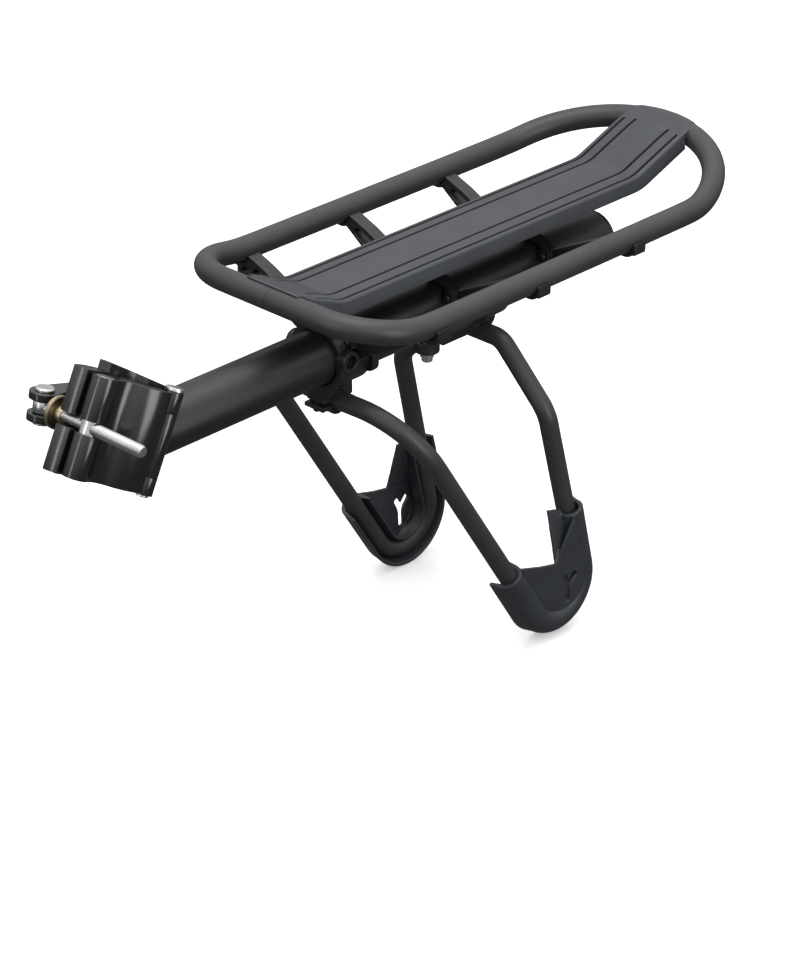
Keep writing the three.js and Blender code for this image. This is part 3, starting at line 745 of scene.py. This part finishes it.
def build_rear_saddle():
    saddle = half_band(3, 270, 324, False)
    block = rounded([(270, -33), (319, -33), (322, -29), (322, -20), (270, -20)], 2)
    join(saddle, prism("y", block, -9, 9))
    cut(saddle, beam_space(BAND), leg_tube(ROD + GAP), leg_tube(ROD + GAP, -1))
    show(melt(saddle, 0.42, 2, 0.35), "rear_leg_saddle", "frame", PLASTIC, 60)
    for name, x in (("front", 279), ("rear", 297)):
        made = screw("z", Vector((x, 0, -33.3)), -1, 3.6, 2.1, 2, 12, 1.8)
        show(made, f"saddle_screw_{name}", "frame", STEEL)


# ---------------------------------------------------------------- legs and foot covers
COVER_RADIUS, COVER_CENTRE, COVER_OPEN, COVER_WALL = 9.8, 72.2, 64.0, 2.2
INTO_THE_V = Vector((0.842, 0, 0.539))  # square to the front leg, towards the rear one


def foot_points():
    """The stretch of the rod's route that a cover holds."""
    front_end, rear_end = Vector((268, 71.9, -181)), Vector((328.6, 70.2, -152))
    return route([(front_end, 0), (FOOT_CORNER, FOOT_BEND), (rear_end, 0)], 90)


def y_shape(at):
    """A three-armed opening."""
    points = []
    for angle, reach in ((-90, 14), (45, 10.5), (120, 9.5)):
        along = Vector((math.cos(math.radians(angle)), math.sin(math.radians(angle))))
        side = Vector((-along.y, along.x))
        for distance, offset in ((3, -2.3), (reach, -2.3), (reach, 2.3), (3, 2.3)):
            point = Vector(at) + along * distance + side * offset
            points.append((point.x, point.y))
    return rounded(points, 1.6, 4)


def cover_section():
    """Closed outside, open towards the wheel; the first coordinate points into the V."""
    outer = arc(0, -COVER_CENTRE, COVER_RADIUS, 180, 360, 30)
    inner = arc(0, -COVER_CENTRE, ROD + GAP, 360, 180, 24)
    lip = -COVER_OPEN - 1
    return [(-11.3, -COVER_OPEN), *outer, (10.2, lip), (8.5, lip), *inner, (-9, -COVER_OPEN)]


def tilted_wall(points, at, slope_x, slope_z):
    """A flat wall drawn in (x, z), whose outer face passes through a point with the slopes given."""
    base = at.y - slope_x * at.x - slope_z * at.z
    across, up = Vector((1, slope_x, 0)), Vector((0, slope_z, 1))
    return sweep("wall", points, [(Vector((0, y, 0)), across, up) for y in (base, base - COVER_WALL)])


def build_cover():
    level = []
    for origin, across, _ in frames_along(foot_points(), INTO_THE_V):
        flat_across = Vector((across.x, 0, across.z)).normalized()
        level.append((Vector((origin.x, 0, origin.z)), flat_across, Vector((0, -1, 0))))
    along_roll = []
    for i, (origin, across, _) in enumerate(level):
        inside = 8.4 - 3.4 * smooth_step(i / (len(level) - 1), 0.2, 0.7)
        along_roll.append((origin.x + across.x * inside, origin.z + across.z * inside))
    cover = sweep("cover", cover_section(), level)
    web_outline = [*along_roll, (308, -185), (294, -182)]
    web = tilted_wall(web_outline, Vector((288, 78.6, -197)), 0.067, 0.043)
    fin_outline = [(308, -185), (309, -148), (321, -151), (329, -185)]
    fin = tilted_wall(fin_outline, Vector((308, 80.4, -185)), 0, -0.243)
    join(cover, web, fin)
    window = prism("y", y_shape((320.5, -205.5)), COVER_CENTRE, COVER_CENTRE + 14)
    cut(cover, leg_tube(ROD + GAP), window)
    return melt(cover, 0.42, 3, 0.35)


def build_legs():
    for side_name, side in (("right", 1), ("left", -1)):
        show(leg_tube(ROD, side), f"leg_rod_{side_name}", "frame", POWDER)
    cover = build_cover()
    show(mirror_copy(cover, "cover"), "foot_cover_left", "frame", PLATE, 60)
    show(cover, "foot_cover_right", "frame", PLATE, 60)


# ---------------------------------------------------------------- seat-post clamp
BORE = 16.0
BODY_RADIUS = 25.0
JAW_RADIUS = 25.5
BODY_HALF, JAW_HALF = 33.0, 32.0
KNUCKLE = 6.2
KNUCKLE_LOW, KNUCKLE_HIGH = -21.35, 19.35
KNUCKLE_GAP = 0.15
STUD_RADIUS = 4.0
SLOT_HALF = 4.4
NUT_RADIUS, NUT_LOW = 6.0, -14.0


def rod_between(radius, low, high, at, place):
    """A pin along z with small chamfers."""
    chamfer = 0.5
    ends = [(0, low), (radius - chamfer, low), (radius, low + chamfer)]
    ends += [(radius, high - chamfer), (radius - chamfer, high), (0, high)]
    return lathe(ends, "z", at, place, 64)


def hinge_cylinder(radius, low, high):
    return prism("z", disc(radius, HINGE_B, HINGE_C, 64), low, high)


def with_knuckles(body, own, other):
    """Cuts the room for the other half's knuckles and adds this half's own; each is (low, high)."""
    room = [hinge_cylinder(KNUCKLE + 2, low - KNUCKLE_GAP, high + KNUCKLE_GAP) for low, high in other]
    cut(body, *room)
    knuckles = [hinge_cylinder(KNUCKLE, low + KNUCKLE_GAP, high - KNUCKLE_GAP) for low, high in own]
    join(body, *knuckles)


def hollow(first, second, radius):
    """The arc that touches two round outlines (u, v, radius) from outside, and its bearings."""
    apart = math.hypot(second[0] - first[0], second[1] - first[1])
    reach0, reach1 = first[2] + radius, second[2] + radius
    corner = math.acos((apart ** 2 + reach0 ** 2 - reach1 ** 2) / (2 * apart * reach0))
    bearing = math.atan2(second[1] - first[1], second[0] - first[0]) - corner
    u, v = first[0] + reach0 * math.cos(bearing), first[1] + reach0 * math.sin(bearing)
    to_first = math.degrees(math.atan2(first[1] - v, first[0] - u))
    to_second = math.degrees(math.atan2(second[1] - v, second[0] - u))
    return arc(u, v, radius, to_first, to_second, 20), math.degrees(bearing), to_second - 180


def build_clamp_body():
    outer = arc(0, 0, BODY_RADIUS, -57, 140, 60)
    lug = arc(STUD_B, NUT_C, 20.7, 62, 119, 16)
    bore = arc(0, 0, BORE, 174.6, -59, 72)
    body = prism("z", [*outer, *lug, (-47.7, 8.1), (-44.7, 1.5), *bore], -BODY_HALF, 50)
    above = [(-60, BODY_HALF), (-27, BODY_HALF), (-27, 38.8), (30, 29.7), (30, 60), (-60, 60)]
    slot = rectangle(-60, STUD_B + 5, -SLOT_HALF, SLOT_HALF)
    cut(body, prism("y", above, -40, 40), prism("y", slot, 0, 30))
    own = [(-BODY_HALF, KNUCKLE_LOW), (KNUCKLE_HIGH, BODY_HALF)]
    with_knuckles(body, own, [(KNUCKLE_LOW, KNUCKLE_HIGH)])
    edge(body, 0.5, 35)
    body.data.transform(CLAMP)
    show(body, "clamp_body", "frame", ANODISED, 60)


def build_clamp_jaw():
    fillet, leaves, meets = hollow((STUD_B, NUT_C, 8.2), (0, 0, JAW_RADIUS), 12)
    lug = arc(STUD_B, NUT_C, 8.2, 125, 360 + leaves, 30)
    outer = arc(0, 0, JAW_RADIUS, meets, -80, 24)
    bore = arc(0, 0, BORE, -80, -180, 40)
    jaw = prism("z", [*lug, *fillet[1:-1], *outer, *bore], -JAW_HALF, JAW_HALF)
    swing = [(-60, 2), (-60, -60), (-1.4, -60), (STUD_B + 5, -6.5), (STUD_B + 5, 2)]
    nut_bore = prism("z", disc(NUT_RADIUS + GAP, STUD_B, NUT_C, 64), NUT_LOW - GAP, 60)
    cut(jaw, prism("z", swing, -SLOT_HALF, SLOT_HALF), nut_bore)
    with_knuckles(jaw, [(KNUCKLE_LOW, KNUCKLE_HIGH)], [(-60, KNUCKLE_LOW), (KNUCKLE_HIGH, 60)])
    edge(jaw, 0.5, 35)
    jaw.data.transform(CLAMP)
    show(jaw, "clamp_jaw", "jaw", ANODISED, 60)


def build_clamp_pins():
    seat = BODY_HALF + GAP
    head = [(0, 35.4), (5.2, 35.4), (5.8, 35.1), (6, 34.6), (6, seat), (3, seat)]
    foot = [(0, -34.6), (3.6, -34.6), (4, -34.2), (4, -seat), (3, -seat)]
    pin = lathe(foot + head[::-1], "z", Vector((HINGE_B, HINGE_C, 0)), CLAMP)
    show(pin, "hinge_pin", "frame", STEEL)

    nut = rod_between(NUT_RADIUS, NUT_LOW, JAW_HALF, Vector((STUD_B, NUT_C, 0)), CLAMP)
    hole = prism("y", disc(STUD_RADIUS + GAP, STUD_B, 0, 40), -30, 30, CLAMP)
    show(cut(nut, hole), "barrel_nut", "nut", STEEL)


# ---------------------------------------------------------------- quick release
THREAD_PITCH = 1.25
THREAD_DEPTH = 0.65
PIN_RADIUS = 3.0
EYE = Vector((0, 0, 0))
LEVER_HALF = 9.5


def threaded_stud(tip, thread_end, top):
    """A real helical thread up to thread_end, then a plain shank; along y, seen from the eye."""
    sides, rows_per_turn = 32, 8
    step = THREAD_PITCH / rows_per_turn
    turns = [TAU * i / sides for i in range(sides)]
    rings = []
    for row in range(int((thread_end - tip) / step) + 1):
        along = tip + row * step
        chamfer = min(1, (along - tip) / 1.5)
        runout = min(1, max(0, (thread_end - along) / 3))
        ring = []
        for i, angle in enumerate(turns):
            phase = ((along - tip) / THREAD_PITCH + i / sides) % 1
            cut_depth = THREAD_DEPTH * (1 - min(1, abs(phase - 0.5) * 2.6)) * runout
            radius = min(STUD_RADIUS - cut_depth, STUD_RADIUS - 1.1 * (1 - chamfer))
            ring.append(Vector((radius * math.cos(angle), along, -radius * math.sin(angle))))
        rings.append(ring)
    rings.append([Vector((STUD_RADIUS * math.cos(a), top, -STUD_RADIUS * math.sin(a))) for a in turns])
    return skin("stud", rings)


def ring_on_stud(profile):
    """A turned ring around the stud; heights run from the eye towards the clamp."""
    ring = lathe(profile, "y", EYE, sides=64)
    return cut(ring, prism("y", disc(STUD_RADIUS + GAP, sides=40), -30, 0))


def build_release():
    """Drawn with the eye at the origin, the stud along -y and the lever's pin along z."""
    stud = threaded_stud(-90, -14, -3)
    half = [(6.5, 3.5), (5.9, 4.1), (0, 4.1)]
    join(stud, lathe([(radius, -height) for radius, height in half[::-1]] + half, "z", EYE))
    cut(stud, prism("z", disc(PIN_RADIUS + GAP, sides=48), -10, 10))
    show(placed(stud, RELEASE), "clamp_stud", "stud", STEEL, 50)

    cup = ring_on_stud([(0, 15.7), (4.9, 15.7), (5.4, 16.2), (5.4, 19.2), (4.7, 20.4), (0, 20.4)])
    show(placed(cup, RELEASE), "bearing_cup", "stud", BRONZE)
    washer = ring_on_stud([(0, 12.4), (10.1, 12.4), (10.8, 13.1), (10.8, 14.7), (10.1, 15.4), (0, 15.4)])
    show(placed(washer, RELEASE), "qr_washer", "stud", BRONZE)

    cam = arc(0, 0, 9.6, 62, 270, 24)
    blade = [(10, -7.5), (30, -4.5), (60, -1.5), (72, 0.5), (73, 3), (60, 4.4), (30, 6), (12, 8.5)]
    lever = prism("z", [*cam, *blade], -LEVER_HALF, LEVER_HALF)
    fork = [*arc(0, 0, 14, -30, 30, 12), (-20, 20), (-20, -20)]
    cut(lever, prism("z", fork, -SLOT_HALF, SLOT_HALF))
    cut(lever, prism("z", disc(PIN_RADIUS + GAP, sides=48), -20, 20))
    melt(lever, 0.4, 3, 0.35)
    show(placed(lever, RELEASE), "qr_lever", "lever", ANODISED, 60)
    seat = LEVER_HALF + GAP
    half = [(PIN_RADIUS, seat), (6.2, seat), (6.2, 11.0), (5.4, 11.8), (0, 11.8)]
    pin = lathe([(radius, -height) for radius, height in half[::-1]] + half, "z", EYE)
    show(placed(pin, RELEASE), "lever_pin", "lever", STEEL)


# ---------------------------------------------------------------- studio
FLOOR_GAP = 0.0004                      # in metres, as is all of the studio


def build_world(scene):
    """Bright overhead, dim at the horizon and below, so that the black finishes stay black."""
    world = bpy.data.worlds.new("studio")
    scene.world = world
    world.use_nodes = True
    nodes, links = world.node_tree.nodes, world.node_tree.links
    direction = nodes.new("ShaderNodeTexCoord").outputs["Generated"]
    parts = nodes.new("ShaderNodeSeparateXYZ")
    links.new(direction, parts.inputs["Vector"])
    level = stretch(nodes, links, parts.outputs["Z"], -0.2, 0.8, 0.12, 1.35)
    links.new(level, nodes["Background"].inputs["Strength"])
    nodes["Background"].inputs["Color"].default_value = (1, 1, 1, 1)


def build_studio():
    low, _ = (Vector(c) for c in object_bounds())
    scene = bpy.context.scene
    scene.view_settings.view_transform = "Standard"
    build_world(scene)
    builder = bmesh.new()
    bmesh.ops.create_grid(builder, x_segments=4, y_segments=4, size=8)
    floor = mesh_object("floor", builder)
    floor.location = (0, 0, low.z - FLOOR_GAP)
    floor.visible_diffuse = False
    floor.visible_glossy = False
    paper = bpy.data.materials.new("floor")
    paper.use_nodes = True
    shader = paper.node_tree.nodes["Principled BSDF"]
    socket(shader, "Base Color", (0.9, 0.9, 0.9, 1))
    socket(shader, "Roughness", 0.12)
    socket(shader, "Specular IOR Level", 0.4)
    socket(shader, "Emission Color", (1, 1, 1, 1))
    socket(shader, "Emission Strength", 0.30)
    floor.data.materials.append(paper)
    floor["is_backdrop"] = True

    def lamp(name, place, aim, size, power):
        data = bpy.data.lights.new(name, "AREA")
        data.shape = "RECTANGLE"
        data.size, data.size_y = size
        data.energy = power
        made = bpy.data.objects.new(name, data)
        made.location = place
        made.rotation_euler = (Vector(aim) - Vector(place)).to_track_quat("-Z", "Y").to_euler()
        scene.collection.objects.link(made)
    lamp("overhead", (0.2, 0.1, 1.8), (0.2, 0, 0), (1.6, 1.2), 14)
    lamp("strip_left", (-1.9, 0.2, 0.5), (0, 0, 0), (0.14, 1.6), 5)
    lamp("strip_right", (0.1, -1.9, 0.4), (0, 0, 0), (0.8, 1.4), 13)

    camera = bpy.data.objects.new("camera", bpy.data.cameras.new("camera"))
    camera.location = (-1.19827, -1.39233, 0.92347)
    camera.rotation_euler = (math.radians(62.327), 0, math.radians(-45.916))
    camera.data.lens = 126.06
    camera.data.sensor_width = 36
    camera.data.clip_end = 50
    scene.collection.objects.link(camera)
    scene.camera = camera


build_beam()
build_loop()
build_plate()
build_members()
build_collar()
build_front_bracket()
build_rear_saddle()
build_legs()
build_clamp_body()
build_clamp_jaw()
build_clamp_pins()
build_release()
build_studio()
